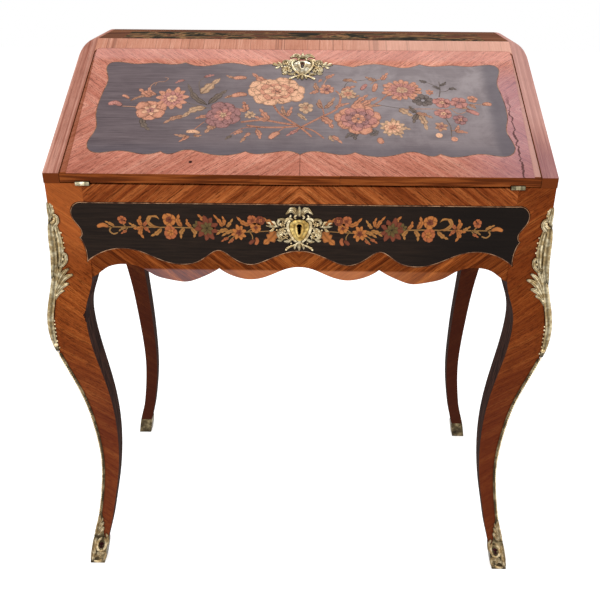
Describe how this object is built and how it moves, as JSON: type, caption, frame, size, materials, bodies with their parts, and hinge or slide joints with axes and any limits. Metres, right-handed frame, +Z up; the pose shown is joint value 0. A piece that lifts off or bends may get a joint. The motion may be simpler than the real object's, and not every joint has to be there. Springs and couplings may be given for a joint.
{
  "type": "slant-front desk",
  "caption": "Small slant-front writing desk on cabriole legs, with floral marquetry, a scalloped apron drawer and gilt brass mounts.",
  "frame": {"origin": "on the floor, under the middle of the bounding box", "axes": "+X to the desk's right as seen from the front, +Y to the back, +Z up; the fall faces -Y"},
  "size_m": [0.775, 0.4356, 0.88],
  "materials": {
    "tulipwood_veneer": "polished veneer",
    "dark_marquetry": "polished marquetry ground",
    "interior_wood": "satin",
    "oak": "raw and aged",
    "gilt_brass": "worn gilt",
    "lock_steel": "filed",
    "writing_leather": "satin"
  },
  "bodies": {
    "case": {"back_apron": "oak", "back_panel": "oak", "cheek_left": "tulipwood_veneer", "cheek_right": "tulipwood_veneer", "corner_mount_left": "gilt_brass", "corner_mount_right": "gilt_brass", "drawer_runner_left": "oak", "drawer_runner_right": "oak", "floor_leather": "writing_leather", "front_skirt": "tulipwood_veneer", "hinge_leaves_fixed": "gilt_brass", "hinge_pins": "gilt_brass", "hinge_rail": "tulipwood_veneer", "leg_back_left": "tulipwood_veneer", "leg_back_right": "tulipwood_veneer", "leg_bead_left": "gilt_brass", "leg_bead_right": "gilt_brass", "leg_front_left": "tulipwood_veneer", "leg_front_right": "tulipwood_veneer", "nest_partitions": "interior_wood", "nest_shelf": "interior_wood", "nest_sides": "interior_wood", "nest_uprights": "interior_wood", "sabot_back_left": "gilt_brass", "sabot_back_right": "gilt_brass", "sabot_front_left": "gilt_brass", "sabot_front_right": "gilt_brass", "side_apron_left": "tulipwood_veneer", "side_apron_right": "tulipwood_veneer", "stay_cheek_plates": "gilt_brass", "strike_rail": "tulipwood_veneer", "top_board": "tulipwood_veneer", "writing_floor": "oak"},
    "fall": {"fall_board": "tulipwood_veneer", "fall_leather": "writing_leather", "fall_cartouche": "dark_marquetry", "fall_lock_case": "gilt_brass", "fall_escutcheon": "gilt_brass", "hinge_leaves_moving": "gilt_brass", "stay_fall_brackets": "gilt_brass"},
    "fall_bolt": {"fall_lock_bolt": "lock_steel"},
    "stay_rear": {"stay_rear_arms": "gilt_brass"},
    "stay_front": {"stay_front_arms": "gilt_brass"},
    "drawer": {"drawer_front": "dark_marquetry", "drawer_sides": "oak", "drawer_back": "oak", "drawer_bottom": "oak", "drawer_lock_case": "gilt_brass", "drawer_escutcheon": "gilt_brass"},
    "drawer_bolt": {"drawer_lock_bolt": "lock_steel"},
    "nest_drawer_left": {"nest_drawer_front_left": "interior_wood", "nest_drawer_tray_left": "oak", "nest_drawer_knob_left": "gilt_brass"},
    "nest_drawer_middle": {"nest_drawer_front_middle": "interior_wood", "nest_drawer_tray_middle": "oak", "nest_drawer_knob_middle": "gilt_brass"},
    "nest_drawer_right": {"nest_drawer_front_right": "interior_wood", "nest_drawer_tray_right": "oak", "nest_drawer_knob_right": "gilt_brass"}
  },
  "joints": [
    {"name": "fall_hinge", "type": "hinge", "parent": "case", "child": "fall", "pos_m": [0, -0.1978, 0.72], "axis": [1, 0, 0], "range_deg": [0, 153.5]},
    {"name": "stay_rear_hinge", "type": "hinge", "parent": "case", "child": "stay_rear", "pos_m": [0, -0.04779, 0.77008], "axis": [1, 0, 0], "range_deg": [0, 153.5]},
    {"name": "stay_front_hinge", "type": "hinge", "parent": "fall", "child": "stay_front", "pos_m": [0, -0.09579, 0.76192], "axis": [1, 0, 0], "range_deg": [-153.5, 0]},
    {"name": "fall_bolt_slide", "type": "slide", "parent": "fall", "child": "fall_bolt", "axis": [0, 0.8949, 0.4462], "range_m": [0, 0.007]},
    {"name": "drawer_slide", "type": "slide", "parent": "case", "child": "drawer", "axis": [0, -1, 0], "range_m": [0, 0.24]},
    {"name": "drawer_bolt_slide", "type": "slide", "parent": "drawer", "child": "drawer_bolt", "axis": [0, 0, 1], "range_m": [0, 0.007]},
    {"name": "nest_drawer_left_slide", "type": "slide", "parent": "case", "child": "nest_drawer_left", "axis": [0, -1, 0], "range_m": [0, 0.085]},
    {"name": "nest_drawer_middle_slide", "type": "slide", "parent": "case", "child": "nest_drawer_middle", "axis": [0, -1, 0], "range_m": [0, 0.085]},
    {"name": "nest_drawer_right_slide", "type": "slide", "parent": "case", "child": "nest_drawer_right", "axis": [0, -1, 0], "range_m": [0, 0.085]}
  ],
  "couplings": [
    {"joint": "stay_rear_hinge", "follows": "fall_hinge", "ratio": 1},
    {"joint": "stay_front_hinge", "follows": "fall_hinge", "ratio": -1}
  ]
}
